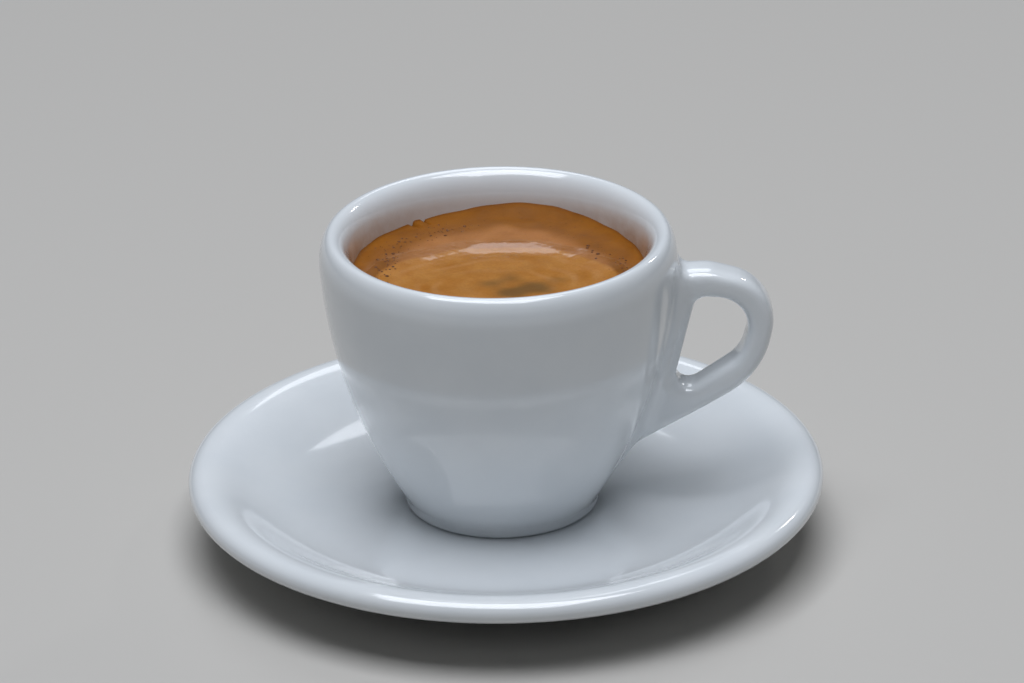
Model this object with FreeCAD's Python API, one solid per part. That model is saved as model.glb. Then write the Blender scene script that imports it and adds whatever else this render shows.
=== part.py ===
import FreeCAD, Part
import math
import os

# An espresso in its thick porcelain cup, standing on its saucer. Millimetres, +Z up.
# The origin is the middle of the saucer's foot, on the table. The handle points along +X.

# Saucer. Heights are measured from the seat, the flat middle that the cup stands on.
saucer_radius = 60.0
seat_height = 7.5            # seat above the table
seat_radius = 23.0
saucer_well_inset = 18.0     # end of the nearly flat floor, inside the outer edge
saucer_well_rise = 1.0       # how far that floor has risen there
saucer_flank_inset = 11.0    # middle of the steep flank, inside the outer edge
saucer_flank_rise = 4.0
saucer_crest_inset = 2.8     # lip crest inside the outer edge
saucer_crest_rise = 7.4
saucer_edge_rise = 5.1       # widest point of the lip
saucer_lip_rise = 2.9        # underside of the lip
saucer_lip_inset = 2.2       # where that underside begins, inside the outer edge
saucer_lip_slope = 0.25      # how steeply it leaves the lip
saucer_wall = 4.4            # thickness of the floor at the seat
saucer_foot_radius = 35.0
saucer_foot_width = 3.0
saucer_foot_round = 0.8

# Cup body. Heights are measured from the foot of the cup.
cup_height = 54.8
cup_radius = 33.3            # outside of the wall where the lip begins
lip_height = 5.8             # height of the rounded lip
lip_crown_inset = 2.25       # crown of the lip inside the wall's outside
cup_foot_radius = 18.4
cup_foot_height = 2.0
cup_foot_round = 0.8
cup_foot_recess = 1.2        # depth of the hollow under the foot
cup_foot_width = 3.2
wall_belly = 3.1             # how far the outside bows out of a straight cone
wall_thickness = 5.8         # at the lip
lip_inner_height = 5.8       # how far the rounded lip reaches down inside
bore_floor_radius = 14.0     # inside, where wall and floor would meet
bore_belly = 2.4
floor_thickness = 7.0
floor_round = 7.0            # rounding between inner wall and floor

# Handle: a plate with rounded edges that stands out of the wall, with a finger hole.
handle_width = 8.0           # across, along Y
handle_round = 2.3           # rounding of the plate's outer edges
handle_round_share = 0.62    # most of the grip's thickness that this rounding may take
hole_round = 1.2             # rounding of the edges round the hole
hole_round_share = 0.34
handle_join_round = 1.6      # fillet where the plate meets the wall
handle_top_drop = 7.7        # top line at the cup's wall, below the crown
handle_brow_drop = 7.5       # top of the arm's low hump, below the crown
handle_brow_reach = 5.9      # that hump beyond the cup's radius
handle_brow_round = 9.0
handle_shoulder_drop = 11.3  # upper outer corner, below the crown
handle_elbow_drop = 29.0     # lower outer corner, below the crown
handle_tail_drop = 44.7      # lower line at the cup's wall, below the crown
handle_shoulder_reach = 19.5 # upper outer corner beyond the cup's radius
handle_elbow_reach = 16.0    # lower outer corner beyond it
handle_shoulder_round = 10.2
handle_elbow_round = 17.0
hole_web = 4.2               # plate left between the wall and the hole
hole_top_drop = 13.0
hole_bottom_drop = 34.2
hole_shoulder_reach = 14.8   # upper outer corner of the hole beyond the cup's radius
hole_shoulder_drop = 13.8
hole_elbow_reach = 12.4      # lower outer corner of the hole
hole_elbow_drop = 25.9
hole_corner_round = 2.4
hole_shoulder_round = 6.8
hole_elbow_round = 3.1

cup_shift = -0.7             # the cup stands a little off the saucer's middle, along X

# Drink.
drink_drop = 7.5             # level of the crema below the lip's crown
crema_depth = 3.0
crema_ring_inset = 8.6       # low ridge round the middle pool, inside the wall
crema_ring_rise = 0.35
crema_dip_inset = 5.6        # shallow trough outside the ridge, inside the wall
crema_dip = 0.15
meniscus_rise = 0.6          # the crema climbs the wall
meniscus_reach = 1.8

UP = FreeCAD.Vector(0, 0, 1)
corner_share = 0.65          # most of a straight run that one rounded corner may take
quarter_pull = 0.55          # reach of a quarter round's control points, as a share of its size
same_place = 0.01            # edges nearer than this lie on each other


def point(r, z):
    """A point of the XZ plane, r from the axis."""
    return FreeCAD.Vector(r, 0, z)


def line(a, b):
    return Part.LineSegment(a, b).toShape()


def bow(a, b, belly):
    """Circular arc from a to b whose middle stands out of the straight line by belly."""
    along = (b - a).normalize()
    outward = FreeCAD.Vector(along.z, 0, -along.x)
    return Part.ArcOfCircle(a, (a + b) * 0.5 + outward * belly, b)


def smooth(points, start, end):
    """Spline through the points with the given directions at its ends."""
    curve = Part.BSplineCurve()
    curve.interpolate(Points=points, InitialTangent=start, FinalTangent=end)
    return curve.toShape()


def blend(a, leaving, b, arriving):
    """Quarter-round curve from a to b that is tangent to the two directions."""
    curve = Part.BezierCurve()
    curve.setPoles([a, a + leaving, b - arriving, b])
    return curve.toShape()


def revolved(edges):
    """Solid of revolution about the Z axis of a closed outline."""
    face = Part.Face(Part.Wire(edges))
    return face.revolve(FreeCAD.Vector(0, 0, 0), UP, 360)


def on_seat(shape):
    """Moves a piece of the cup from the cup's own axis and foot to its place on the saucer."""
    shape.translate(FreeCAD.Vector(cup_shift, 0, seat_height))
    return shape


def rounded_path(corners, rounds, closed):
    """Straight runs joined by tangent arcs: one radius for each corner that is turned."""
    count = len(corners)
    turned = range(count) if closed else range(1, count - 1)
    arcs = []
    for radius, i in zip(rounds, turned):
        to_last = corners[i - 1] - corners[i]
        to_next = corners[(i + 1) % count] - corners[i]
        half = to_last.getAngle(to_next) / 2
        room = min(to_last.Length, to_next.Length) * corner_share
        setback = min(radius / math.tan(half), room)
        before = to_last.normalize()
        after = to_next.normalize()
        inset = setback * math.tan(half) * (1 / math.sin(half) - 1)
        middle = (before + after).normalize() * inset
        arcs.append((corners[i] + before * setback, corners[i] + middle, corners[i] + after * setback))
    edges = [Part.Arc(*arc).toShape() for arc in arcs]
    for first, second in zip(arcs, arcs[1:]):
        edges.append(line(first[2], second[0]))
    if closed:
        edges.append(line(arcs[-1][2], arcs[0][0]))
    else:
        edges.append(line(corners[0], arcs[0][0]))
        edges.append(line(arcs[-1][2], corners[-1]))
    return edges


def outer_wall():
    foot = point(cup_foot_radius, cup_foot_height)
    top = point(cup_radius, cup_height - lip_height)
    return bow(foot, top, wall_belly)


def inner_wall():
    floor = point(bore_floor_radius, floor_thickness)
    top = point(cup_radius - wall_thickness, cup_height - lip_inner_height)
    return bow(floor, top, bore_belly)


def radius_at(arc, z):
    """Radius of a wall's arc at a height, on the circle that it is part of."""
    centre = arc.Center
    return centre.x + math.sqrt(arc.Radius ** 2 - (z - centre.z) ** 2)


def lip_edges(outer, inner):
    """The rounded lip, from the top of the outer wall over the crown to the inner wall."""
    crown = point(cup_radius - lip_crown_inset, cup_height)
    outer_end = outer.EndPoint
    inner_end = inner.EndPoint
    up_outer = outer.tangent(outer.LastParameter)[0] * (quarter_pull * lip_height)
    down_inner = inner.tangent(inner.LastParameter)[0] * (-quarter_pull * lip_inner_height)
    return [
        blend(outer_end, up_outer, crown, point(quarter_pull * (crown.x - outer_end.x), 0)),
        blend(crown, point(quarter_pull * (inner_end.x - crown.x), 0), inner_end, down_inner),
    ]


def cup_body():
    """The wall, lip, floor and foot ring in one turn, with the inner corner rounded."""
    outer = outer_wall()
    inner = inner_wall()
    ring_inside = cup_foot_radius - cup_foot_width
    edges = [
        line(point(0, cup_foot_recess), point(ring_inside, cup_foot_recess)),
        line(point(ring_inside, cup_foot_recess), point(ring_inside, 0)),
        line(point(ring_inside, 0), point(cup_foot_radius, 0)),
        line(point(cup_foot_radius, 0), outer.StartPoint),
        outer.toShape(),
    ]
    edges += lip_edges(outer, inner)
    edges += [
        inner.toShape(),
        line(inner.StartPoint, point(0, floor_thickness)),
        line(point(0, floor_thickness), point(0, cup_foot_recess)),
    ]
    body = revolved(edges)
    body = body.makeFillet(floor_round, ring_edges(body, bore_floor_radius, floor_thickness))
    foot_rings = ring_edges(body, cup_foot_radius, 0) + ring_edges(body, ring_inside, 0)
    return body.makeFillet(cup_foot_round, foot_rings)


def ring_edges(shape, radius, z):
    """The circular edges of a turned shape that have this radius and height."""
    found = []
    for edge in shape.Edges:
        box = edge.BoundBox
        level = abs(box.ZMin - z) < same_place and abs(box.ZMax - z) < same_place
        if level and abs(box.XMax - radius) < same_place:
            found.append(edge)
    return found


def below_crown(reach, drop):
    """A corner of the handle, from the cup's radius and the crown of its lip."""
    return point(cup_radius + reach, cup_height - drop)


def handle_plate():
    """The handle's outline with its hole, as a plate whose long edges are rounded."""
    outer = outer_wall()
    inner = inner_wall()
    root = []
    for drop in (handle_top_drop, handle_tail_drop):
        z = cup_height - drop
        root.append(point((radius_at(outer, z) + radius_at(inner, z)) / 2, z))
    corners = [
        root[0],
        below_crown(handle_brow_reach, handle_brow_drop),
        below_crown(handle_shoulder_reach, handle_shoulder_drop),
        below_crown(handle_elbow_reach, handle_elbow_drop),
        root[1],
    ]
    rounds = [handle_brow_round, handle_shoulder_round, handle_elbow_round]
    edges = rounded_path(corners, rounds, False)
    root_line = bow(root[1], root[0], wall_belly * (handle_tail_drop - handle_top_drop) / cup_height)
    outline = Part.Wire(Part.__sortEdges__(edges + [root_line.toShape()]))
    hole = hole_outline(outer)
    plate = extruded(outline).cut(extruded(hole)).Solids[0]
    thinnest = min(edge.distToShape(hole)[0] for edge in edges)
    inner_round = min(hole_round, hole_round_share * thinnest)
    outer_round = min(handle_round, handle_round_share * thinnest)
    plate = plate.makeFillet(inner_round, edges_along(plate, hole.Edges))
    return plate.makeFillet(outer_round, edges_along(plate, edges))


def extruded(outline):
    """An outline in the XZ plane as a plate of the handle's width, centred on that plane."""
    face = Part.Face(outline)
    face.translate(FreeCAD.Vector(0, -handle_width / 2, 0))
    return face.extrude(FreeCAD.Vector(0, handle_width, 0))


def hole_outline(outer):
    """The finger hole: its inner side follows the wall at the web's width."""
    top = cup_height - hole_top_drop
    bottom = cup_height - hole_bottom_drop
    corners = [
        point(radius_at(outer, top) + hole_web, top),
        below_crown(hole_shoulder_reach, hole_shoulder_drop),
        below_crown(hole_elbow_reach, hole_elbow_drop),
        point(radius_at(outer, bottom) + hole_web, bottom),
    ]
    rounds = [hole_corner_round, hole_shoulder_round, hole_elbow_round, hole_corner_round]
    return Part.Wire(Part.__sortEdges__(rounded_path(corners, rounds, True)))


def edges_along(plate, outline):
    """The plate's long edges, front and back, that lie over the edges of an outline."""
    found = []
    for edge in plate.Edges:
        middle = edge.valueAt((edge.FirstParameter + edge.LastParameter) / 2)
        spot = Part.Vertex(point(middle.x, middle.z))
        over = min(part.distToShape(spot)[0] for part in outline)
        if edge.BoundBox.YLength < same_place and over < same_place:
            found.append(edge)
    return found


def cup():
    """Body and handle in one piece, with a fillet round the handle's root."""
    body = cup_body()
    handle = handle_plate()
    joined = body.fuse(handle).removeSplitter()
    seam = []
    for edge in joined.Edges:
        middle = edge.valueAt((edge.FirstParameter + edge.LastParameter) / 2)
        spot = Part.Vertex(middle)
        on_wall = body.Shells[0].distToShape(spot)[0] < same_place
        on_handle = handle.Shells[0].distToShape(spot)[0] < same_place
        if on_wall and on_handle and middle.x > 0 and abs(middle.y) < handle_width:
            seam.append(edge)
    filleted = joined.makeFillet(handle_join_round, seam)
    return on_seat(filleted)


def saucer():
    """One turned dish: seat, dished floor, steep flank, broad rounded lip and a foot ring."""
    crest = point(saucer_radius - saucer_crest_inset, saucer_crest_rise)
    edge = point(saucer_radius, saucer_edge_rise)
    seat_edge = point(seat_radius, 0)
    well = point(saucer_radius - saucer_well_inset, saucer_well_rise)
    flank = point(saucer_radius - saucer_flank_inset, saucer_flank_rise)
    top = smooth([seat_edge, well, flank, crest], point(1, 0), point(1, 0))
    lip_under = point(saucer_radius - saucer_lip_inset, saucer_lip_rise)
    flank_under = flank + point(1, -saucer_wall)
    foot_top = point(saucer_foot_radius, saucer_well_rise / 2 - saucer_wall)
    inward = point(-1, -saucer_lip_slope)
    under = smooth([lip_under, flank_under, foot_top], inward, point(-1, 0))
    foot_inside = saucer_foot_radius - saucer_foot_width
    floor_under = -saucer_wall
    table = -seat_height
    down_edge = point(0, -quarter_pull * (saucer_crest_rise - saucer_edge_rise))
    down_lip = point(0, -quarter_pull * (saucer_edge_rise - saucer_lip_rise))
    edges = [
        line(point(0, 0), seat_edge),
        top,
        blend(crest, point(quarter_pull * saucer_crest_inset, 0), edge, down_edge),
        blend(edge, down_lip, lip_under, inward),
        under,
        line(foot_top, point(saucer_foot_radius, table)),
        line(point(saucer_foot_radius, table), point(foot_inside, table)),
        line(point(foot_inside, table), point(foot_inside, floor_under)),
        line(point(foot_inside, floor_under), point(0, floor_under)),
        line(point(0, floor_under), point(0, 0)),
    ]
    dish = revolved(edges)
    rings = ring_edges(dish, saucer_foot_radius, table) + ring_edges(dish, foot_inside, table)
    dish = dish.makeFillet(saucer_foot_round, rings)
    dish.translate(FreeCAD.Vector(0, 0, seat_height))
    return dish


def drink_level():
    return cup_height - drink_drop


def filling():
    """Everything inside the cup's bore up to the lip, rounded at the floor like the bore."""
    inner = inner_wall()
    top = inner.EndPoint
    edges = [
        line(point(0, floor_thickness), inner.StartPoint),
        inner.toShape(),
        line(top, point(0, top.z)),
        line(point(0, top.z), point(0, floor_thickness)),
    ]
    bore = revolved(edges)
    return bore.makeFillet(floor_round, ring_edges(bore, bore_floor_radius, floor_thickness))


def coffee():
    """The liquid coffee, up to the underside of the crema."""
    depth = drink_level() - crema_depth
    slab = Part.makeCylinder(cup_radius, depth)
    return on_seat(filling().common(slab))


def crema():
    """The foam on top: a low ridge round the middle, a trough, and a rise at the wall."""
    level = drink_level()
    bottom = level - crema_depth
    wall_z = level + meniscus_rise
    wall_r = radius_at(inner_wall(), wall_z)
    outside = cup_radius
    ridge = point(wall_r - crema_ring_inset, level + crema_ring_rise)
    trough = point(wall_r - crema_dip_inset, level - crema_dip)
    climb = point(wall_r - meniscus_reach, level)
    surface = smooth([point(0, level), ridge, trough, climb, point(wall_r, wall_z)], point(1, 0), point(1, 1))
    edges = [
        surface,
        line(point(wall_r, wall_z), point(outside, wall_z)),
        line(point(outside, wall_z), point(outside, bottom)),
        line(point(outside, bottom), point(0, bottom)),
        line(point(0, bottom), point(0, level)),
    ]
    return on_seat(filling().common(revolved(edges)))


os.makedirs("parts", exist_ok=True)
for name, build in (("saucer", saucer), ("cup", cup), ("coffee", coffee), ("crema", crema)):
    shape = build()
    solid = shape.Solids[0]
    solid.exportStep("parts/" + name + ".step")
    print(name, len(shape.Solids), solid.isValid(), round(solid.Volume / 1000, 2), "cm3")
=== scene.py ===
# An espresso with its crema, in a thick porcelain cup on a saucer. Shapes are worked out in
# millimetres and put into the meshes in metres; z is up and the handle points along +X.
import bpy
import math
import numpy as np
from mathutils import Matrix, Vector


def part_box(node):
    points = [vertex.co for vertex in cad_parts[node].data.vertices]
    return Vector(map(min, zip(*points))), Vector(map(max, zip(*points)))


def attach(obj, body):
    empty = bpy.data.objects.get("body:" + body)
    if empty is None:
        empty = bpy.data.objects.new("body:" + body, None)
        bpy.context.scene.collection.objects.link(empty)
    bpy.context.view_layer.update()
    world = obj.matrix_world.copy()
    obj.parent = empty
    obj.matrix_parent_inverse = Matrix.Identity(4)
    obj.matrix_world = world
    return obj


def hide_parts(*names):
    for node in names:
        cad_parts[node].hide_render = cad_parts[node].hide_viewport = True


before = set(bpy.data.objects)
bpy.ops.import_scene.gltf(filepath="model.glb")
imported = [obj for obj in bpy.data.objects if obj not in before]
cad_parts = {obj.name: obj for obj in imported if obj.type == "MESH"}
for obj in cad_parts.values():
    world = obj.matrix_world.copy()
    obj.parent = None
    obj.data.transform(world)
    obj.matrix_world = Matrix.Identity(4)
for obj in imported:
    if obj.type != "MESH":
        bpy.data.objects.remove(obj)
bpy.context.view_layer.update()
mm = 0.001

# Where things stand, taken from the frame: the lowest and highest corner of each node, in mm.
saucerHigh = np.array(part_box("saucer")[1]) / mm
cupLow, cupHigh = [np.array(corner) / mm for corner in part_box("cup")]
coffeeLow, coffeeHigh = [np.array(corner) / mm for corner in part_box("coffee")]
cremaHigh = np.array(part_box("crema")[1]) / mm
cupAxis = (coffeeLow[0] + coffeeHigh[0]) / 2      # x of the cup's own axis
cupFoot = cupLow[2]                               # height of the saucer's seat
cupHeight = cupHigh[2] - cupLow[2]
saucerRadius = saucerHigh[0]
print("frame read: cup", round(cupHeight, 1), "mm high, saucer", round(2 * saucerRadius, 1), "mm across")


# Curves are rows of points in the plane of radius and height.

def arc(start, end, belly, count=60):
    # circle through both ends whose middle stands off the chord by belly, to its right
    a, b = np.array(start, float), np.array(end, float)
    chord = b - a
    half = np.hypot(*chord) / 2
    outward = np.array([chord[1], -chord[0]]) / (2 * half)
    radius = (half ** 2 + belly ** 2) / (2 * belly)
    centre = (a + b) / 2 + outward * (belly - radius)
    reach = math.asin(half / radius)
    turn = np.linspace(-reach, reach, count)[:, None]
    return centre + radius * (outward * np.cos(turn) + chord / (2 * half) * np.sin(turn))


def bezier(a, b, c, d, count=24):
    # cubic curve from a to d, pulled towards b and c
    t = np.linspace(0, 1, count)[:, None]
    poles = [np.array(p, float) for p in (a, b, c, d)]
    weights = ((1 - t) ** 3, 3 * t * (1 - t) ** 2, 3 * t ** 2 * (1 - t), t ** 3)
    return sum(w * p for w, p in zip(weights, poles))


def spline(points, startWay, endWay, count=90):
    # cubic through the points with even curvature, parameter along the chords, given end directions
    p = np.array(points, float)
    gap = np.hypot(*np.diff(p, axis=0).T)
    n = len(p)
    system = np.zeros((n, n))
    right = np.zeros((n, 2))
    system[0, 0] = system[-1, -1] = 1
    right[0], right[-1] = startWay, endWay
    for i in range(1, n - 1):
        system[i, i - 1:i + 2] = gap[i], 2 * (gap[i - 1] + gap[i]), gap[i - 1]
        right[i] = 3 * (gap[i] * (p[i] - p[i - 1]) / gap[i - 1] + gap[i - 1] * (p[i + 1] - p[i]) / gap[i])
    way = np.linalg.solve(system, right)
    rows = []
    for i in range(n - 1):
        pull = way[i:i + 2] * gap[i] / 3
        share = max(4, int(count * gap[i] / gap.sum()))
        rows.append(bezier(p[i], p[i] + pull[0], p[i + 1] - pull[1], p[i + 1], share)[:-1])
    return np.vstack(rows + [p[-1:]])


cornerShare = 0.65      # most of a straight run that one rounded corner may take


def roundedPath(corners, rounds, closed=False, count=14):
    # straight runs joined by tangent arcs; a setback never takes more than its share of a run
    p = np.array(corners, float)
    n = len(p)
    rows = []
    for i in range(n):
        if not closed and i in (0, n - 1):
            rows.append(p[i:i + 1])
            continue
        toLast, toNext = p[i - 1] - p[i], p[(i + 1) % n] - p[i]
        before, after = toLast / np.hypot(*toLast), toNext / np.hypot(*toNext)
        half = math.acos(np.clip(before @ after, -1, 1)) / 2
        room = min(np.hypot(*toLast), np.hypot(*toNext)) * cornerShare
        setback = min(rounds[i if closed else i - 1] / math.tan(half), room)
        radius = setback * math.tan(half)
        middle = p[i] + (before + after) / np.hypot(*(before + after)) * radius / math.sin(half)
        first, last = p[i] + before * setback - middle, p[i] + after * setback - middle
        swing = math.pi - 2 * half
        t = np.linspace(0, 1, count)[:, None]
        rows.append(middle + (np.sin((1 - t) * swing) * first + np.sin(t * swing) * last) / math.sin(swing))
    return np.vstack(rows + ([rows[0][:1]] if closed else []))


def joined(*rows):
    # one row without the doubled points, where the end of one curve is the start of the next
    path = np.vstack(rows)
    keep = np.hypot(*np.diff(path, axis=0).T) > 1e-6
    return path[np.concatenate([[True], keep])]


def evenly(path, spacing):
    # the same line with its points about that far apart
    run = np.concatenate([[0], np.cumsum(np.hypot(*np.diff(path, axis=0).T))])
    at = np.linspace(0, run[-1], int(run[-1] / spacing) + 1)
    return np.stack([np.interp(at, run, path[:, 0]), np.interp(at, run, path[:, 1])], 1)


# Meshes: a piece is an object that rides the body and takes the place of the nodes it hides.

def addPiece(name, points, faces, nodes=(), normals=None):
    mesh = bpy.data.meshes.new(name)
    faces = faces if isinstance(faces, list) else faces.tolist()
    mesh.from_pydata((np.asarray(points) * mm).tolist(), [], faces)
    mesh.polygons.foreach_set("use_smooth", np.ones(len(mesh.polygons), bool))
    if normals is not None:
        mesh.normals_split_custom_set_from_vertices(normals.tolist())
    mesh.update()
    piece = bpy.data.objects.new(name, mesh)
    bpy.context.scene.collection.objects.link(piece)
    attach(piece, "root")
    if nodes:
        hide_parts(*nodes)
    print(name, len(mesh.vertices), "points", len(mesh.polygons), "faces")
    return piece


def gridFaces(rows, columns):
    # quads of a grid of points numbered row by row, closed round
    row = np.arange(rows - 1)[:, None]
    column = np.arange(columns)[None, :]
    after = (column + 1) % columns
    corner = [row * columns + column, row * columns + after,
              (row + 1) * columns + after, (row + 1) * columns + column]
    return np.stack([np.broadcast_to(c, (rows - 1, columns)) for c in corner], -1).reshape(-1, 4)


def capped(x, y, z, firstPole, lastPole):
    # a closed skin: a grid of rings, closed round, with one pole point below and one above
    rows, columns = x.shape
    points = np.stack([x, y, z], -1).reshape(-1, 3)
    faces = gridFaces(rows, columns).tolist()
    here = np.arange(columns)
    there = (here + 1) % columns
    first, last = len(points), len(points) + 1
    end = (rows - 1) * columns
    faces += np.stack([np.full(columns, first), there, here], 1).tolist()
    faces += np.stack([np.full(columns, last), end + here, end + there], 1).tolist()
    return np.vstack([points, [firstPole, lastPole]]), faces


def turned(path, axisX, footZ, columns):
    # point(row, angle) = (axis + r cos, r sin, foot + z); both ends of the row lie on the axis
    angle = np.linspace(0, 2 * math.pi, columns, endpoint=False)
    ring = path[1:-1]
    x = axisX + ring[:, :1] * np.cos(angle)
    y = ring[:, :1] * np.sin(angle)
    z = np.broadcast_to(footZ + ring[:, 1:], x.shape)
    return capped(x, y, z, (axisX, 0, footZ + path[0, 1]), (axisX, 0, footZ + path[-1, 1]))


# Materials: colours are sRGB codes, and patterns are measured in millimetres on the piece.

def toLinear(code, alpha=1.0):
    parts = [int(code[i:i + 2], 16) / 255 for i in (1, 3, 5)]
    return tuple(c / 12.92 if c <= 0.04045 else ((c + 0.055) / 1.055) ** 2.4 for c in parts) + (alpha,)


def addNode(tree, kind, inputs=(), **settings):
    # one node: settings are its properties, inputs are values or the sockets that feed it
    node = tree.nodes.new(kind)
    for key, value in settings.items():
        setattr(node, key, value)
    for key, value in dict(inputs).items():
        if isinstance(value, bpy.types.NodeSocket):
            tree.links.new(value, node.inputs[key])
        else:
            node.inputs[key].default_value = value
    return node


def newMaterial(name):
    material = bpy.data.materials.new(name)
    material.use_nodes = True
    tree = material.node_tree
    tree.nodes.clear()
    shader = addNode(tree, "ShaderNodeBsdfPrincipled")
    addNode(tree, "ShaderNodeOutputMaterial", {"Surface": shader.outputs[0]})
    return material, tree, shader


def inMillimetres(tree, centre=(0, 0, 0)):
    # Object coordinates measured in mm from a centre
    place = addNode(tree, "ShaderNodeTexCoord").outputs["Object"]
    return addNode(tree, "ShaderNodeMapping", {
        "Vector": place, "Location": [-c for c in centre], "Scale": (1 / mm,) * 3}).outputs[0]


def noise(tree, vector, millimetres, detail=2.0, rough=0.5):
    # one blotch about that many millimetres wide
    return addNode(tree, "ShaderNodeTexNoise", {
        "Vector": vector, "Scale": 1 / millimetres, "Detail": detail, "Roughness": rough}).outputs[0]


def ramp(tree, value, low, high, outLow=0.0, outHigh=1.0):
    return addNode(tree, "ShaderNodeMapRange", {
        "Value": value, "From Min": low, "From Max": high, "To Min": outLow, "To Max": outHigh},
        clamp=True).outputs[0]


def blendColours(tree, share, first, second):
    return addNode(tree, "ShaderNodeMix", {0: share, 6: first, 7: second}, data_type="RGBA").outputs[2]


def maths(tree, kind, first, second=0.0):
    return addNode(tree, "ShaderNodeMath", {0: first, 1: second}, operation=kind).outputs[0]


# widths of the glaze's patterns, in mm, and the depth of its waviness
glaze = {"cloud": 14.0, "filmAndReflectionPatch": 3.0, "wave": 9.0, "peel": 1.1, "haze": 6.0, "depth": 0.25}


def porcelain(name, bore=None):
    # Hotel porcelain, slip cast and fired under a clear felspar glaze: a cool white body seen through
    # a hard wet gloss, with the glaze's long soft waviness; bore adds a tan inside: a faint film of drink
    # all round, and on the two sides a painted reflection of the crema.
    material, tree, shader = newMaterial(name)
    place = inMillimetres(tree)
    body, thick = toLinear("#E3E7EA"), toLinear("#D6DCE1")
    cloud = ramp(tree, noise(tree, place, glaze["cloud"], 3.0), 0.35, 0.7)
    colour = blendColours(tree, maths(tree, "MULTIPLY", cloud, 0.35), body, thick)
    if bore:
        # tan inside the bore: a faint drink film all round, and on the two sides a painted reflection of the
        # crema
        filmAndReflection = addNode(tree, "ShaderNodeAttribute", attribute_name="filmAndReflection").outputs["Fac"]
        patch = ramp(tree, noise(tree, place, glaze["filmAndReflectionPatch"], 4.0, 0.6), 0.3, 0.75, 0.45, 1.0)
        colour = blendColours(tree, maths(tree, "MULTIPLY", filmAndReflection, patch), colour, toLinear(bore))
    wave = noise(tree, place, glaze["wave"], 1.0)
    peel = noise(tree, place, glaze["peel"], 1.0)
    height = maths(tree, "ADD", wave, maths(tree, "MULTIPLY", peel, 0.12))
    bump = addNode(tree, "ShaderNodeBump", {
        "Strength": 0.10, "Distance": glaze["depth"] * mm, "Height": height})
    haze = ramp(tree, noise(tree, place, glaze["haze"], 3.0), 0.3, 0.75, 0.10, 0.17)
    for key, value in {"Base Color": colour, "Roughness": haze, "Normal": bump.outputs[0]}.items():
        tree.links.new(value, shader.inputs[key])
    shader.inputs["IOR"].default_value = 1.52
    shader.inputs["Coat Weight"].default_value = 0.6
    shader.inputs["Coat Roughness"].default_value = 0.04
    shader.inputs["Coat IOR"].default_value = 1.5
    return material


def paint(piece, masks):
    # one value at each point, for the material to read
    for key, values in masks.items():
        layer = piece.data.attributes.new(key, "FLOAT", "POINT")
        layer.data.foreach_set("value", values.astype(np.float32))


def finish(piece, material):
    piece.data.materials.clear()
    piece.data.materials.append(material)


# Saucer: one turned shape.

saucer = {
    "seatRadius": 23.0, "wellInset": 18.0, "wellRise": 1.0, "flankInset": 11.0, "flankRise": 4.0,
    "crestInset": 2.8, "crestRise": 7.4, "edgeRise": 5.1, "lipRise": 2.9, "lipInset": 2.2, "lipSlope": 0.25,
    "wall": 4.4, "footRadius": 35.0, "footWidth": 3.0, "footRound": 0.8, "pull": 0.55, "columns": 320,
    "seatRings": 12,
}


def saucerPath(s):
    # from the middle of the underside out over the foot ring, round the lip and in to the seat
    table = -cupFoot
    edge = (saucerRadius, s["edgeRise"])
    crest = (saucerRadius - s["crestInset"], s["crestRise"])
    under = (saucerRadius - s["lipInset"], s["lipRise"])
    flank = np.array([saucerRadius - s["flankInset"], s["flankRise"]])
    footTop = (s["footRadius"], s["wellRise"] / 2 - s["wall"])
    inside = s["footRadius"] - s["footWidth"]
    ring = roundedPath(
        [(0, -s["wall"]), (inside, -s["wall"]), (inside, table), (s["footRadius"], table), footTop],
        [s["footRound"]] * 3)
    way = np.array([-1, -s["lipSlope"]])
    below = spline([under, flank + (1, -s["wall"]), footTop], way, (-1, 0))[::-1]
    drop = s["pull"] * (s["edgeRise"] - s["lipRise"])
    climb = s["pull"] * (s["crestRise"] - s["edgeRise"])
    lipLow = bezier(under, under - way, (edge[0], edge[1] - drop), edge)
    crestOut = (crest[0] + s["pull"] * s["crestInset"], crest[1])
    lipHigh = bezier(edge, (edge[0], edge[1] + climb), crestOut, crest)
    dish = spline([(s["seatRadius"], 0), (saucerRadius - s["wellInset"], s["wellRise"]), flank, crest],
                  (1, 0), (1, 0))[::-1]
    seat = np.array([[s["seatRadius"] * share, 0] for share in np.linspace(0.97, 0, s["seatRings"])])
    return joined(ring, below, lipLow, lipHigh, dish, seat)


points, faces = turned(saucerPath(saucer), 0, cupFoot, saucer["columns"])
saucerPiece = addPiece("saucer_glazed", points, faces, ["saucer"])
finish(saucerPiece, porcelain("glazed_porcelain_saucer"))


# Cup: wall and handle are drawn as one skin, so that the handle grows out of the wall.

cup = {
    "radius": 33.3, "lipHeight": 5.8, "lipCrownInset": 2.25, "footRadius": 18.4, "footHeight": 2.0,
    "footRound": 0.9, "footRecess": 1.2, "footWidth": 3.2, "outerBelly": 3.1, "wall": 5.8, "lipInner": 5.8,
    "boreFloor": 14.0, "boreBelly": 2.4, "floor": 7.0, "floorRound": 7.0, "pull": 0.55,
    "recessRound": 0.3,
    "boreFrom": 24,     # sample of the bore's arc from which it is free of the floor's rounding
}
handle = {
    "width": 8.0, "fullness": 3.2, "topDrop": 7.7, "tailDrop": 44.7,
    "outline": [(5.9, 7.5), (19.5, 11.3), (16.0, 29.0)], "outlineRounds": [9.0, 10.2, 17.0],
    "web": 4.2, "holeTop": 13.0, "holeBottom": 34.2,
    "hole": [(14.6, 13.8), (11.6, 25.2)], "holeRounds": [2.4, 6.6, 7.0, 2.4],
    "sunk": 0.6, "easeEdge": 2.0, "easeSide": 4.2,
    "rootRound": 3.0, "runOn": 0.8,     # how the outline ends inside the cup, where it isn't seen
}
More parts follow.
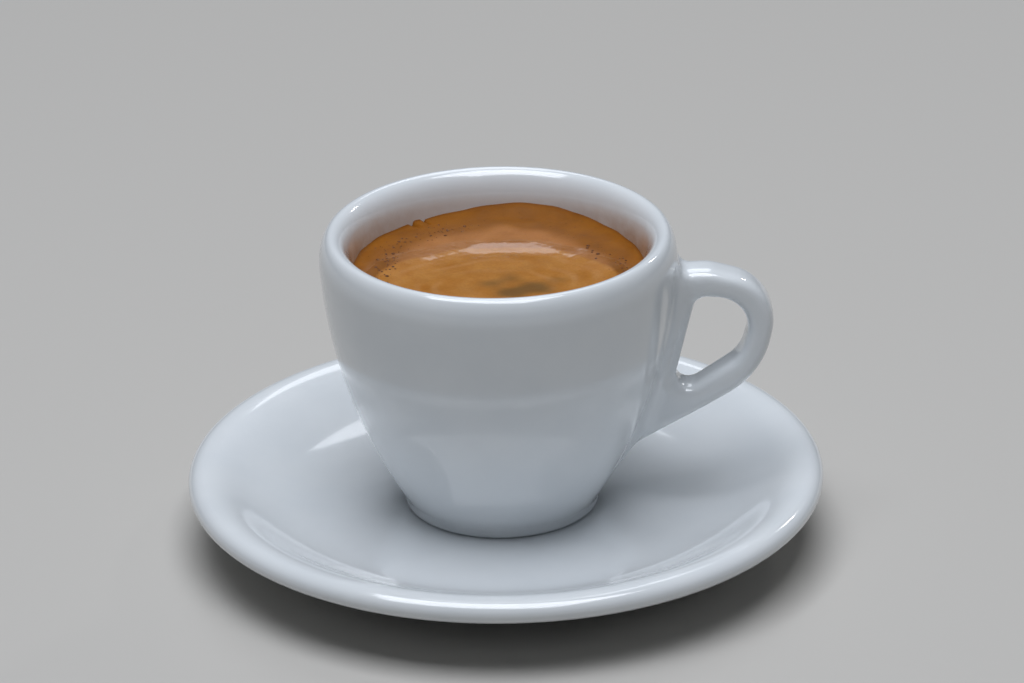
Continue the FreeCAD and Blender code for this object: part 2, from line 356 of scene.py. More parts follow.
# how the skin is drawn: size of its cells, free room round the cup, size of the table's cells, passes
# that draw its points onto the surface at the handle and on the plain wall, and lengths in mm
skin = {
    "step": 0.5, "margin": 1.2, "tableStep": 0.25, "steps": 3, "wallSteps": 2, "probe": 0.04,
    "spacing": 0.3, "jointDepth": 2.0,
}


def wallArcs(c):
    outerTop = (c["radius"], cupHeight - c["lipHeight"])
    innerTop = (c["radius"] - c["wall"], cupHeight - c["lipInner"])
    outer = arc((c["footRadius"], c["footHeight"]), outerTop, c["outerBelly"])
    inner = arc((c["boreFloor"], c["floor"]), innerTop, c["boreBelly"])
    return outer, inner


def cupPath(c):
    # from the middle of the hollow foot out, up the wall, over the lip and down the bore
    outer, inner = wallArcs(c)
    ringInside = c["footRadius"] - c["footWidth"]
    foot = roundedPath(
        [(0, c["footRecess"]), (ringInside, c["footRecess"]), (ringInside, 0),
         (c["footRadius"], 0), outer[0]],
        [c["recessRound"], c["footRound"], c["footRound"]])
    crown = np.array([c["radius"] - c["lipCrownInset"], cupHeight])
    up = outer[-1] - outer[-2]
    down = inner[-2] - inner[-1]
    up, down = up / np.hypot(*up), down / np.hypot(*down)
    over = np.array([outer[-1][0] - crown[0], 0]) * c["pull"]
    back = np.array([inner[-1][0] - crown[0], 0]) * c["pull"]
    rise, fall = up * c["pull"] * c["lipHeight"], down * c["pull"] * c["lipInner"]
    lipOut = bezier(outer[-1], outer[-1] + rise, crown + over, crown)
    lipIn = bezier(crown, crown + back, inner[-1] - fall, inner[-1])
    bore = inner[c["boreFrom"]:]
    floor = roundedPath([bore[0], inner[0], (0, c["floor"])], [c["floorRound"]], count=24)
    return joined(foot, outer, lipOut, lipIn, bore[::-1], floor)


def offsets(path, points):
    # for every point and every run of the line: how far along the run its foot lies, and the squared gap
    run = np.diff(path, axis=0).astype(np.float32)
    gap = [points[:, i:i + 1].astype(np.float32) - path[None, :-1, i].astype(np.float32) for i in (0, 1)]
    share = np.clip((gap[0] * run[:, 0] + gap[1] * run[:, 1]) / (run ** 2).sum(1), 0, 1)
    return share, (gap[0] - share * run[:, 0]) ** 2 + (gap[1] - share * run[:, 1]) ** 2


def inParts(measure, path, points, most=4000):
    # the same measure, a few thousand points at a time, to keep the arrays small
    rows = [measure(path, part) for part in np.array_split(points, max(1, len(points) // most))]
    return np.concatenate(rows)


def nearest(path, points):
    # signed distance to the line, outside to its right, and the direction away from it; the line's
    # own normals are blended along each run, so that curves stay smooth
    run = np.diff(path, axis=0)
    side = np.stack([run[:, 1], -run[:, 0]], 1) / np.hypot(*run.T)[:, None]
    closed = np.allclose(path[0], path[-1])
    before = np.vstack([side[-1:] if closed else side[:1], side])
    after = np.vstack([side, side[:1] if closed else side[-1:]])
    normal = before + after
    share, away = offsets(path, points)
    best = away.argmin(1)
    t = share[np.arange(len(points)), best][:, None].astype(float)
    foot = path[best] + t * run[best]
    way = normal[best] * (1 - t) + normal[best + 1] * t
    way /= np.hypot(*way.T)[:, None]
    return np.column_stack([((points - foot) * way).sum(1), way])


def far(path, points):
    # plain distance to the line, negative where a ray to the right crosses it an odd number of times
    share, away = offsets(path, points)
    x, y = points[:, :1], points[:, 1:]
    a, run = path[:-1], np.diff(path, axis=0)
    spans = (a[:, 1] > y) != (a[:, 1] + run[:, 1] > y)
    crossing = a[:, 0] + (y - a[:, 1]) / np.where(run[:, 1] == 0, 1, run[:, 1]) * run[:, 0]
    inside = (spans & (crossing > x)).sum(1) % 2 == 1
    return np.sqrt(away.min(1)) * np.where(inside, -1, 1)


outerArc, innerArc = wallArcs(cup)
bodyPath = evenly(cupPath(cup), skin["spacing"])


def outerRadius(z):
    return np.interp(z, outerArc[:, 1], outerArc[:, 0])


def handlePaths(h):
    # outline of the handle, whose ends run on into the cup so that only its free edge counts, and its
    # hole; both have the handle's clay on their left
    ends = [cupHeight - h["topDrop"], cupHeight - h["tailDrop"]]
    foot = outerRadius(ends[1])
    corners = [(0, ends[0]), (outerRadius(ends[0]), ends[0])]
    corners += [(cup["radius"] + reach, cupHeight - drop) for reach, drop in h["outline"]]
    tail = np.array(corners[-1]) - (foot, ends[1])
    last = np.array([foot, ends[1]]) - tail * h["runOn"]
    outline = roundedPath(corners + [tuple(last)], [h["rootRound"]] + h["outlineRounds"])[::-1]
    top, bottom = cupHeight - h["holeTop"], cupHeight - h["holeBottom"]
    hole = [(outerRadius(top) + h["web"], top)]
    hole += [(cup["radius"] + reach, cupHeight - drop) for reach, drop in h["hole"]]
    hole += [(outerRadius(bottom) + h["web"], bottom)]
    hole = roundedPath(hole, h["holeRounds"], True)[::-1]
    return evenly(outline, skin["spacing"]), evenly(hole, skin["spacing"])


def gripField(depth, beside, y, h):
    # oval section: u runs from the hole (-1) to the free edge (+1), and |u|^n + |y/half|^n = 1 is the
    # surface; divided by its own slope, the value is close to a distance
    wide = np.maximum(depth + beside, 0.5)
    u = (beside - depth) / wide
    half = h["width"] / 2
    n = h["fullness"]
    a, b = np.abs(u) + 1e-6, np.abs(y) / half + 1e-6
    size = (a ** n + b ** n) ** (1 / n)
    slopeU = (a / size) ** (n - 1) * 2 / wide
    slopeY = (b / size) ** (n - 1) / half
    return (size - 1) / np.hypot(slopeU, slopeY)


outline, hole = handlePaths(handle)


def handleField(x, y, z, h, measure):
    # negative inside the handle; it ends a little below the skin of the wall
    flat = np.stack([x, z], 1)
    grip = gripField(-measure(outline, flat), measure(hole, flat), y, h)
    return np.maximum(grip, outerRadius(z) - h["sunk"] - np.hypot(x, y))


def blendFields(wall, grip, y, h):
    # smooth union of two distances: where they differ by less than ease, the surface is drawn out by
    # up to a quarter of it, which leaves a hollow fillet; the ease grows from the edges to the sides
    ease = h["easeEdge"] + (h["easeSide"] - h["easeEdge"]) * np.clip(np.abs(y) / (h["width"] / 2), 0, 1) ** 2
    share = np.clip(0.5 + 0.5 * (grip - wall) / ease, 0, 1)
    return grip * (1 - share) + wall * share - ease * share * (1 - share)


def signed(path, points):
    return inParts(nearest, path, points)[:, 0]


def cupField(p):
    wall = signed(bodyPath, np.stack([np.hypot(p[:, 0], p[:, 1]), p[:, 2]], 1))
    return blendFields(wall, handleField(p[:, 0], p[:, 1], p[:, 2], handle, signed), p[:, 1], handle)


def slopeOf(field, p, probe):
    # direction in which the field grows, from its values a probe's length to each side
    steps = np.eye(3) * probe
    return np.stack([(field(p + step) - field(p - step)) / (2 * probe) for step in steps], 1)


def roughField(x, y, z):
    # the same field on a block of corners, from distances on a flat table; good to a tenth of a step
    step = skin["tableStep"]
    radii = np.arange(0, x[-1] + 2 * step, step)
    heights = np.arange(z[0] - step, z[-1] + 2 * step, step)
    coarse = evenly(bodyPath, 2 * skin["spacing"])
    table = inParts(far, coarse, np.stack(np.meshgrid(radii, heights, indexing="ij"), -1).reshape(-1, 2))
    table = table.reshape(len(radii), len(heights))
    column = np.minimum(np.hypot(x[:, None], y[None, :]) / step, len(radii) - 2)
    row = (z - heights[0]) / step
    i, k = column.astype(int)[..., None], row.astype(int)[None, None, :]
    a, b = column[..., None] - i, row - row.astype(int)
    wall = (table[i, k] * (1 - a) + table[i + 1, k] * a) * (1 - b) \
        + (table[i, k + 1] * (1 - a) + table[i + 1, k + 1] * a) * b
    near = x > handleFrom
    thin = np.abs(y) < handleSide
    flat = np.stack(np.meshgrid(x[near], z, indexing="ij"), -1).reshape(-1, 2)
    depth = inParts(far, outline, flat).reshape(near.sum(), 1, len(z))
    beside = inParts(far, hole, flat).reshape(near.sum(), 1, len(z))
    across = y[thin][None, :, None]
    grip = gripField(-depth, beside, across, handle)
    radius = np.hypot(x[near][:, None], y[thin][None, :])[..., None]
    edge = outerRadius(z)[None, None, :] - handle["sunk"] - radius
    block = np.ix_(near, thin, np.ones(len(z), bool))
    wall[block] = blendFields(wall[block], np.maximum(grip, edge), across, handle)
    return wall


def skinOf(field, low, step):
    # one point in every cell that the surface passes through, in the middle of its crossings with the
    # cell's edges, and one quad round every edge of the block that it crosses
    inside = field < 0
    shift = np.array([(i, j, k) for i in (0, 1) for j in (0, 1) for k in (0, 1)])
    size = np.array(field.shape) - 1
    corner = [field[i:i + size[0], j:j + size[1], k:k + size[2]] for i, j, k in shift]
    mixed = np.zeros(size, bool)
    for other in corner[1:]:
        mixed |= (other < 0) != (corner[0] < 0)
    cells = np.argwhere(mixed)
    value = np.stack([c[mixed] for c in corner], 1)
    total, count = np.zeros((len(cells), 3)), np.zeros((len(cells), 1))
    for first in range(8):
        for last in range(first + 1, 8):
            if np.abs(shift[last] - shift[first]).sum() != 1:
                continue
            a, b = value[:, first:first + 1], value[:, last:last + 1]
            cut = (a < 0) != (b < 0)
            share = a / np.where(cut, a - b, 1)
            total += np.where(cut, shift[first] + share * (shift[last] - shift[first]), 0)
            count += cut
    number = np.full(size, -1)
    number[mixed] = np.arange(len(cells))
    faces = []
    for axis in range(3):
        one, two = (axis + 1) % 3, (axis + 2) % 3
        lower = np.take(inside, range(inside.shape[axis] - 1), axis)
        upper = np.take(inside, range(1, inside.shape[axis]), axis)
        at = np.argwhere(lower != upper)
        quad = []
        for i, j in ((-1, -1), (0, -1), (0, 0), (-1, 0)):
            cell = at.copy()
            cell[:, one] += i
            cell[:, two] += j
            quad.append(number[tuple(cell.T)])
        quad = np.stack(quad, 1)
        outwards = lower[tuple(at.T)]
        faces.append(np.where(outwards[:, None], quad, quad[:, ::-1]))
    return (cells + total / count) * step + low, np.vstack(faces)


handleFrom = cup["footRadius"] - 4          # no part of the handle lies nearer to the axis
handleSide = handle["width"] / 2 + handle["easeSide"] + 1       # nor its fillets further to the side


def cupSkin():
    reach = cup["radius"] + max(out for out, drop in handle["outline"])
    edge = cup["radius"] + skin["margin"]
    axes = [np.arange(low, high, skin["step"]) for low, high in (
        (-edge, reach + skin["margin"]), (-edge, edge + skin["step"]),
        (-skin["margin"], cupHeight + skin["margin"]))]
    p, faces = skinOf(roughField(*axes), np.array([a[0] for a in axes]), skin["step"])
    radius = np.hypot(p[:, 0], p[:, 1])
    joint = (p[:, 0] > handleFrom) & (np.abs(p[:, 1]) < handleSide)
    joint &= (radius > outerRadius(p[:, 2]) - skin["jointDepth"])
    slope = slopeOf(cupField, p[joint], skin["probe"])
    for step in range(skin["steps"]):
        p[joint] -= slope * (cupField(p[joint]) / (slope ** 2).sum(1))[:, None]
    plain = p[~joint]
    for step in range(skin["wallSteps"]):
        radius = np.hypot(plain[:, 0], plain[:, 1])
        found = inParts(nearest, bodyPath, np.stack([radius, plain[:, 2]], 1))
        outwards = plain[:, :2] / np.maximum(radius, 1e-9)[:, None]
        normal = np.column_stack([outwards * found[:, 1:2], found[:, 2]])
        plain = plain - normal * found[:, :1]
    p[~joint] = plain
    normals = np.zeros_like(p)
    normals[~joint] = normal
    normals[joint] = slopeOf(cupField, p[joint], skin["probe"])
    return p, faces, normals / np.linalg.norm(normals, axis=1)[:, None]


def boreRadius(z):
    return np.interp(z, innerArc[:, 1], innerArc[:, 0])


cremaSwell = 0.6                                # the crema's highest edge above its level
drinkLevel = cremaHigh[2] - cupFoot - cremaSwell
# reach of the tan on the bore, in mm: a painted reflection of the crema over a faint drink film
stainAndReflection = {"height": 8.0, "below": 1.5, "fade": 1.6, "depth": 1.4, "blur": 1.2, "least": 0.1}


def filmAndReflectionOn(p):
    # tan on the bore, strongest at the crema and gone 8 mm above it: a faint film of drink all round, and
    # a painted reflection of the crema that is much stronger on the two sides facing +x and -x
    height = p[:, 2] - drinkLevel
    turn = np.arctan2(p[:, 1], p[:, 0])
    depth = boreRadius(p[:, 2]) + stainAndReflection["depth"] - np.hypot(p[:, 0], p[:, 1])
    inBore = np.clip(depth / stainAndReflection["blur"], 0, 1)
    fade = np.clip(1 - height / stainAndReflection["height"], 0, 1) ** stainAndReflection["fade"] * (height > -stainAndReflection["below"])
    # least is the faint drink film all round; the rest, by cos squared, is the painted reflection of the
    # crema on the sides
    return inBore * fade * (stainAndReflection["least"] + (1 - stainAndReflection["least"]) * np.cos(turn) ** 2)


p, faces, normals = cupSkin()
cupPiece = addPiece("cup_glazed", p + (cupAxis, 0, cupFoot), faces, ["cup"], normals)
# the tan #B08C6A on the bore: painted reflection of the crema on the two sides, over a faint drink film all
# round
paint(cupPiece, {"filmAndReflection": filmAndReflectionOn(p)})
finish(cupPiece, porcelain("glazed_porcelain_cup", bore="#B08C6A"))


# Coffee under the foam: it fills the bore and reaches just into its wall.

drink = {"intoWall": 0.15, "intoCrema": 0.05, "columns": 192, "cremaDepth": 3.0}


def coffeePath(d):
    # from the middle of the floor out, up the bore, and in over the flat top under the foam
    top = drinkLevel - d["cremaDepth"] + d["intoCrema"]
    start = cup["boreFrom"]
    floor = roundedPath([(0, cup["floor"]), innerArc[0], innerArc[start]], [cup["floorRound"]], count=16)
    wall = innerArc[start + 1:]
    wall = wall[wall[:, 1] < top]
    side = np.vstack([floor, wall, [(boreRadius(top), top)]])
    side[1:, 0] += d["intoWall"]
    side[:, 1] -= d["intoWall"] * (side[:, 1] < cup["floor"] + 1)
    lid = [(side[-1, 0] * share, top) for share in (0.8, 0.4, 0)]
    return joined(side, lid)


def liquidCoffee():
    # Brewed espresso below the foam: nearly black, red-brown where light gets through, wet gloss.
    material, tree, shader = newMaterial("espresso_liquid")
    place = inMillimetres(tree)
    swirl = ramp(tree, noise(tree, place, 8.0, 3.0), 0.3, 0.7)
    colour = blendColours(tree, swirl, toLinear("#1C0D06"), toLinear("#33180A"))
    tree.links.new(colour, shader.inputs["Base Color"])
    shader.inputs["Roughness"].default_value = 0.06
    shader.inputs["IOR"].default_value = 1.34
    return material


points, faces = turned(coffeePath(drink), cupAxis, cupFoot, drink["columns"])
coffeePiece = addPiece("coffee_liquid", points, faces, ["coffee"])
finish(coffeePiece, liquidCoffee())


# Crema: a skin of fine foam, with a smoother pool in front of a low fold.

crema = {
    "rows": 165, "columns": 512, "intoWall": 0.2, "seed": 7,
    "poolCentre": (-0.4, -6.6), "poolHalf": (22.6, 16.6), "foldHeight": 0.05, "foldWidth": 1.2,
    "stepDown": 0.66, "stepWidth": 2.4, "stepTurn": 84.0, "stepSpread": 24.0, "stepLeast": 0.5,
    "collarCentre": (0.0, -1.5), "collarRadius": 19.6,
    "edgeLow": -0.4, "edgeRise": 1.6, "edgeTurn": 75.0, "edgeSpread": 34.0, "climbWidth": 5.0,
    "meniscus": 0.12, "meniscusWidth": 1.0,
    # angle, width and depth of the notches in the edge, and angle, width and rise of the lobe between
    "notches": [(121.5, 0.55, 1.1), (127.0, 0.7, 0.9)], "lobe": (124.3, 2.6, 0.35),
    "ripples": [(0.12, 5, 1), (0.06, 23, 0)],       # rise, count and phase along the edge
    "lumps": [(0.03, 5, 9), (0.005, 1.3, 14)],      # rise, width and waves of the uneven ground
    "innermost": 0.004, "underRings": (0.3, 0.7, 1.0),
    "spotCentre": (4.0, -8.4), "spotHalf": (10.0, 6.6),
}


def softly(t):
    t = np.clip(t, 0, 1)
    return t * t * (3 - 2 * t)


def unrest(x, y, width, seed, waves=9):
    # uneven ground: a sum of plane waves about that wide, with seeded headings and phases
    pick = np.random.default_rng(seed)
    heading = pick.uniform(0, 2 * math.pi, waves)
    phase = pick.uniform(0, 2 * math.pi, waves)
    length = width * pick.uniform(0.7, 1.6, waves)
    total = sum(np.sin(2 * math.pi * (x * np.cos(h) + y * np.sin(h)) / l + f)
                for h, f, l in zip(heading, phase, length))
    return total / math.sqrt(waves)


def poolDistance(x, y, c):
    # mm outside the rim of the pool, whose outline is an ellipse made uneven
    centre, half = c["poolCentre"], c["poolHalf"]
    x = x + 0.5 * unrest(x, y, 13, c["seed"])
    y = y + 0.5 * unrest(x, y, 11, c["seed"] + 1)
    return (np.hypot((x - centre[0]) / half[0], (y - centre[1]) / half[1]) - 1) * half[1]


def edgeHeight(degrees, c):
    # height of the foam's edge on the wall: highest at the back, notched beside a clinging lobe
    apart = (degrees - c["edgeTurn"] + 180) % 360 - 180
    height = c["edgeLow"] + c["edgeRise"] * np.exp(-(apart / c["edgeSpread"]) ** 2)
    for rise, count, phase in c["ripples"]:
        height = height + rise * np.sin(np.radians(degrees) * count + phase)
    turn, width, rise = c["lobe"]
    height = height + rise * np.exp(-((degrees - turn) / width) ** 4)
    for turn, width, drop in c["notches"]:
        height = height - drop * np.exp(-((degrees - turn) / width) ** 2)
    return height


def cremaHeight(x, y, c):
    # level + fold along the pool's rim + step down into the pool, steepest at the back + slow climb
    # to the edge + meniscus in the last stretch + fine unevenness
    out = poolDistance(x, y, c)
    fold = c["foldHeight"] * np.exp(-(out / c["foldWidth"]) ** 2)
    turn = np.degrees(np.arctan2(y - c["poolCentre"][1], x - c["poolCentre"][0]))
    steep = c["stepLeast"] + (1 - c["stepLeast"]) * np.exp(-((turn - c["stepTurn"]) / c["stepSpread"]) ** 2)
    step = c["stepDown"] * (softly(0.5 + out * steep / (2 * c["stepWidth"])) - 1)
    radius = np.hypot(x, y)
    wall = boreRadius(drinkLevel)
    edge = edgeHeight(np.degrees(np.arctan2(y, x)) % 360, c)
    climb = edge * softly((radius - wall + c["climbWidth"]) / c["climbWidth"]) ** 1.5
    lip = c["meniscus"] * np.clip((radius - wall + c["meniscusWidth"]) / c["meniscusWidth"], 0, 1.2) ** 2
    rough = sum(rise * unrest(x, y, width, c["seed"] + 2 + i, waves)
                for i, (rise, width, waves) in enumerate(c["lumps"]))
    return drinkLevel + fold + step + climb + lip + rough


def cremaPiece(c):
    turn = np.linspace(0, 2 * math.pi, c["columns"], endpoint=False)
    edge = edgeHeight(np.degrees(turn), c) + c["meniscus"]
    wall = boreRadius(drinkLevel + edge) + c["intoWall"]
    share = np.linspace(1, c["innermost"], c["rows"])[:, None]
    x, y = share * wall * np.cos(turn), share * wall * np.sin(turn)
    z = cremaHeight(x, y, c)
    under = drinkLevel - drink["cremaDepth"]
    low = (boreRadius(under) + c["intoWall"]) * np.array(c["underRings"])[:, None]
    x = np.vstack([low * np.cos(turn), x])
    y = np.vstack([low * np.sin(turn), y])
    z = np.vstack([np.full((len(low), c["columns"]), under), z])
    top = cremaHeight(np.zeros(1), np.zeros(1), c)[0]
    return capped(x, y, z, (0, 0, under), (0, 0, top))


# widths of the foam's patterns and the depth of its grain, in mm
froth = {"cloud": 5.0, "grain": 0.45, "lump": 1.6, "depth": 0.1}


def foam(name):
    # Crema: coffee oils and gas whipped to a foam too fine to see, so it looks like moist velvet;
    # the pool is smoother, paler and wet, the collar browner, with streaks drawn round by the pour.
    material, tree, shader = newMaterial(name)
    place = inMillimetres(tree, (cupAxis, 0, 0))
    mask = {key: addNode(tree, "ShaderNodeAttribute", attribute_name=key).outputs["Fac"]
            for key in ("pool", "collar", "spot", "rim", "streak", "wet")}
    cloud = noise(tree, place, froth["cloud"], 5.0, 0.6)
    grain = noise(tree, place, froth["grain"], 3.0, 0.7)
    ring = blendColours(tree, ramp(tree, cloud, 0.35, 0.65), toLinear("#9E6530"), toLinear("#AE7440"))
    pool = blendColours(tree, ramp(tree, cloud, 0.3, 0.7), toLinear("#AC6E26"), toLinear("#BE8238"))
    collar = blendColours(tree, ramp(tree, cloud, 0.3, 0.7), toLinear("#7E4A0C"), toLinear("#925912"))
    ragged = maths(tree, "MULTIPLY", maths(tree, "SUBTRACT", cloud, 0.5), 0.5)
    onCollar = ramp(tree, maths(tree, "ADD", mask["collar"], ragged), 0.1, 0.9)
    onPool = ramp(tree, maths(tree, "ADD", mask["pool"], ragged), 0.2, 0.8)
    colour = blendColours(tree, onPool, blendColours(tree, onCollar, ring, collar), pool)
    for key, share, tone in (("streak", 0.35, "#C9925C"), ("spot", 0.9, "#755529"), ("rim", 0.6, "#6F3F14")):
        colour = blendColours(tree, maths(tree, "MULTIPLY", mask[key], share), colour, toLinear(tone))
    speck = ramp(tree, grain, 0.3, 0.7, 0.0, 0.22)
    colour = blendColours(tree, speck, colour, toLinear("#6B3D14"))
    tree.links.new(colour, shader.inputs["Base Color"])
    lump = noise(tree, place, froth["lump"], 3.0)
    height = maths(tree, "ADD", maths(tree, "MULTIPLY", grain, 0.5), lump)
    bump = addNode(tree, "ShaderNodeBump", {
        "Strength": 0.25, "Distance": froth["depth"] * mm, "Height": height})
    tree.links.new(bump.outputs[0], shader.inputs["Normal"])
    dull = ramp(tree, mask["wet"], 0.0, 1.0, 0.40, 0.22)
    uneven = ramp(tree, cloud, 0.3, 0.7, -0.03, 0.05)
    for key, value in {
            "Roughness": maths(tree, "ADD", dull, uneven),
            "Specular IOR Level": ramp(tree, mask["wet"], 0.0, 1.0, 0.2, 0.5),
            "Coat Weight": maths(tree, "MULTIPLY", mask["wet"], 0.6)}.items():
        tree.links.new(value, shader.inputs[key])
    shader.inputs["Coat Roughness"].default_value = 0.08
    shader.inputs["IOR"].default_value = 1.36
    shader.inputs["Subsurface Weight"].default_value = 0.12
    shader.inputs["Subsurface Radius"].default_value = (1.0, 0.45, 0.15)
    shader.inputs["Subsurface Scale"].default_value = 0.0008
    return material


# how the colours lie on the foam, in mm: how wide each edge is blurred, and the streaks' run
tint = {
    "poolBlur": 1.6, "collarBlur": 5.5, "wetFrom": 1.5, "wetBlur": 2.0, "rimWidth": 0.9,
    "streakTurns": 1.9, "streakFrom": 14.0, "streakBlur": (3.0, 6.0),
}


def cremaMasks(x, y, c, t):
    # pool, collar, spot, wet, rim and streak: where each lies, from 0 to 1; the streaks are rings
    # round the pool, sin(distance from its rim), faded out at the rim and in the middle
    out = poolDistance(x, y, c)
    around = np.hypot(x - c["collarCentre"][0], y - c["collarCentre"][1]) + 0.8 * unrest(x, y, 9, 21)
    spot = np.hypot((x - c["spotCentre"][0]) / c["spotHalf"][0], (y - c["spotCentre"][1]) / c["spotHalf"][1])
    wall = boreRadius(drinkLevel)
    rings = np.sin(out * t["streakTurns"] + 0.8 * unrest(x, y, 12, 31))
    rings = rings * softly(-out / t["streakBlur"][0]) * softly((out + t["streakFrom"]) / t["streakBlur"][1])
    return {
        "pool": 1 - softly(out / t["poolBlur"] + 0.5),
        "collar": softly((around - c["collarRadius"]) / t["collarBlur"] + 0.5),
        "spot": 1 - softly(spot + 0.22 * unrest(x, y, 6, 41)),
        "wet": 1 - softly((out - t["wetFrom"]) / t["wetBlur"]),
        "rim": softly((np.hypot(x, y) - wall + t["rimWidth"]) / t["rimWidth"]),
        "streak": np.clip(rings, 0, 1) * (0.5 + 0.5 * unrest(x, y, 10, 51)).clip(0, 1),
    }


points, faces = cremaPiece(crema)
cremaTop = addPiece("crema_foam", points + (cupAxis, 0, cupFoot), faces, ["crema"])
paint(cremaTop, cremaMasks(points[:, 0], points[:, 1], crema, tint))
finish(cremaTop, foam("crema_foam"))


# Bubbles: small ones that stand in strings on the outer foam.

bubbles = {
    "seed": 11, "rings": 4, "sides": 10, "squash": 0.55, "sunk": 0.12, "clear": 0.6, "skirt": 0.35,
    # angle and radius of a patch's middle, its reach along and across, bubbles, smallest and largest radius
    "patches": [
        (170, 21.8, 9.0, 2.4, 24, 0.16, 0.40), (146, 21.4, 13.0, 3.0, 34, 0.12, 0.34),
        (118, 19.6, 9.0, 1.8, 22, 0.12, 0.36), (24, 18.8, 5.4, 0.8, 6, 0.24, 0.42),
        (1, 23.4, 4.4, 1.6, 14, 0.12, 0.28), (150, 21.0, 26.0, 3.4, 110, 0.06, 0.14),
        (20, 21.0, 14.0, 2.6, 40, 0.06, 0.14), (250, 22.5, 28.0, 2.4, 26, 0.10, 0.30),
        (305, 21.5, 20.0, 2.4, 18, 0.10, 0.26), (80, 23.6, 20.0, 1.6, 18, 0.06, 0.12)],
}


def bubblePiece(b):
    pick = np.random.default_rng(b["seed"])
    x, y, size = [], [], []
    for degrees, radius, along, across, count, small, large in b["patches"]:
        turn = math.radians(degrees) + pick.normal(0, along / 2, count) / radius
        out = radius + pick.normal(0, across / 2, count)
        x.append(out * np.cos(turn))
        y.append(out * np.sin(turn))
        size.append(small + (large - small) * pick.random(count) ** 2)
    x, y, size = np.concatenate(x), np.concatenate(y), np.concatenate(size)
    keep = np.hypot(x, y) + size < boreRadius(drinkLevel) - b["clear"]
    x, y, size = x[keep], y[keep], size[keep]
    base = cremaHeight(x, y, crema)
    # every bubble is a cap: a ring at polar angle f has radius sin f and height cos f, squashed
    f = np.linspace(math.pi / 2 / b["rings"], math.pi / 2 + b["skirt"], b["rings"])
    a = np.linspace(0, 2 * math.pi, b["sides"], endpoint=False)
    capX = np.append((np.sin(f)[:, None] * np.cos(a)).ravel(), 0)
    capY = np.append((np.sin(f)[:, None] * np.sin(a)).ravel(), 0)
    capZ = np.append(np.broadcast_to(np.cos(f)[:, None], (b["rings"], b["sides"])).ravel(), 1) * b["squash"]
    points = np.stack([
        x[:, None] + size[:, None] * capX, y[:, None] + size[:, None] * capY,
        base[:, None] + size[:, None] * (capZ - b["sunk"])], -1)
    quads = gridFaces(b["rings"], b["sides"])[:, ::-1]
    here = np.arange(b["sides"])
    pole = b["rings"] * b["sides"]
    top = np.stack([np.full(b["sides"], pole), here, (here + 1) % b["sides"]], 1)
    start = np.arange(len(x)) * (pole + 1)
    faces = (start[:, None, None] + quads).reshape(-1, 4).tolist()
    faces += (start[:, None, None] + top).reshape(-1, 3).tolist()
    return points.reshape(-1, 3), faces


def bubbleFilm():
    # A film of oily coffee over a dark hollow: much browner than the foam, with a hard wet glint.
    material, tree, shader = newMaterial("bubble_film")
    shade = ramp(tree, noise(tree, inMillimetres(tree), 0.8, 2.0), 0.3, 0.7)
    colour = blendColours(tree, shade, toLinear("#4A260C"), toLinear("#6B3A14"))
    tree.links.new(colour, shader.inputs["Base Color"])
    shader.inputs["Roughness"].default_value = 0.12
    shader.inputs["IOR"].default_value = 1.36
    return material


points, faces = bubblePiece(bubbles)
bubbleTop = addPiece("crema_bubbles", points + (cupAxis, 0, cupFoot), faces)
finish(bubbleTop, bubbleFilm())


# Studio: pale paper floor, one big soft box overhead, a window behind and a small one for glints.

studio = {
    "floorHalf": 3000.0, "aim": (0.0, 0.0, 40.0), "floorTone": "#BEBBB6",
    "air": "#D4DADF", "airStrength": 0.06,
    # each soft box: name, place and half sizes in mm, strength in watts, tone
    "softBoxes": [
        ("window", (60.0, 950.0, 1250.0), (260.0, 420.0), 3.4, "#F3F8FF"),
        ("overhead", (-60.0, -170.0, 1330.0), (560.0, 460.0), 18.0, "#F4F8FF"),
        ("glint", (594.0, 711.0, 640.0), (30.0, 45.0), 0.35, "#FFFFFF"),
    ],
}
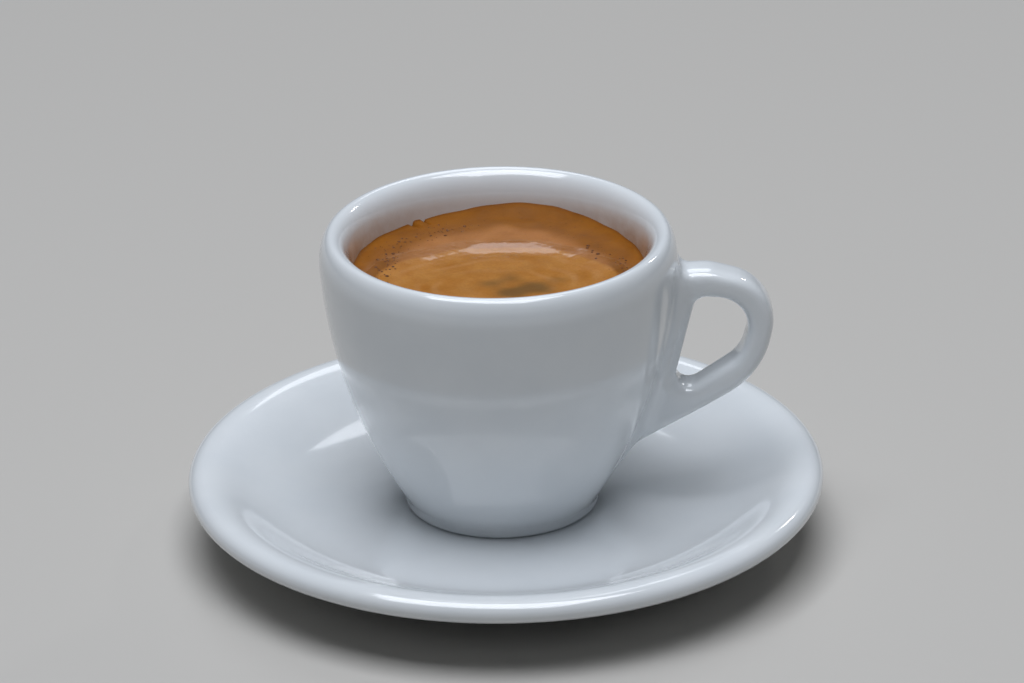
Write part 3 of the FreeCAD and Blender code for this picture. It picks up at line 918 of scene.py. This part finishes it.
# the camera's place, lens and sensor in mm, its clipping in metres, its turns in degrees
view = {
    "place": (1.59, -936.97, 465.34), "pitch": 24.43, "roll": 0.98, "lens": 193.36, "sensor": 36.0,
    "clip": (0.05, 20.0),
}


def addFloor(s):
    half = s["floorHalf"]
    mesh = bpy.data.meshes.new("floor")
    corners = np.array([(-half, -half, 0), (half, -half, 0), (half, half, 0), (-half, half, 0)]) * mm
    mesh.from_pydata(corners.tolist(), [], [(0, 1, 2, 3)])
    floor = bpy.data.objects.new("floor", mesh)
    bpy.context.scene.collection.objects.link(floor)
    material, tree, shader = newMaterial("matt_backdrop_paper")
    shader.inputs["Base Color"].default_value = toLinear(s["floorTone"])
    shader.inputs["Roughness"].default_value = 0.8
    finish(floor, material)


def addLights(s):
    world = bpy.data.worlds.new("studio_air")
    bpy.context.scene.world = world
    world.use_nodes = True
    air = world.node_tree.nodes["Background"]
    air.inputs["Color"].default_value = toLinear(s["air"])
    air.inputs["Strength"].default_value = s["airStrength"]
    for name, place, half, power, tone in s["softBoxes"]:
        lamp = bpy.data.lights.new(name, "AREA")
        lamp.shape = "RECTANGLE"
        lamp.size, lamp.size_y = 2 * half[0] * mm, 2 * half[1] * mm
        lamp.energy = power
        lamp.color = toLinear(tone)[:3]
        box = bpy.data.objects.new(name, lamp)
        box.location = Vector(place) * mm
        towards = Vector(s["aim"]) - Vector(place)
        box.rotation_euler = towards.to_track_quat("-Z", "Y").to_euler()
        bpy.context.scene.collection.objects.link(box)


def addCamera(v):
    lens = bpy.data.cameras.new("camera")
    lens.lens, lens.sensor_width = v["lens"], v["sensor"]
    lens.clip_start, lens.clip_end = v["clip"]
    camera = bpy.data.objects.new("camera", lens)
    tilt = Matrix.Rotation(math.radians(90 - v["pitch"]), 4, "X")
    roll = Matrix.Rotation(math.radians(-v["roll"]), 4, "Z")
    camera.matrix_world = Matrix.Translation(Vector(v["place"]) * mm) @ tilt @ roll
    bpy.context.scene.collection.objects.link(camera)
    bpy.context.scene.camera = camera


addFloor(studio)
addLights(studio)
addCamera(view)
bpy.context.scene.view_settings.view_transform = "Standard"
print("studio set")
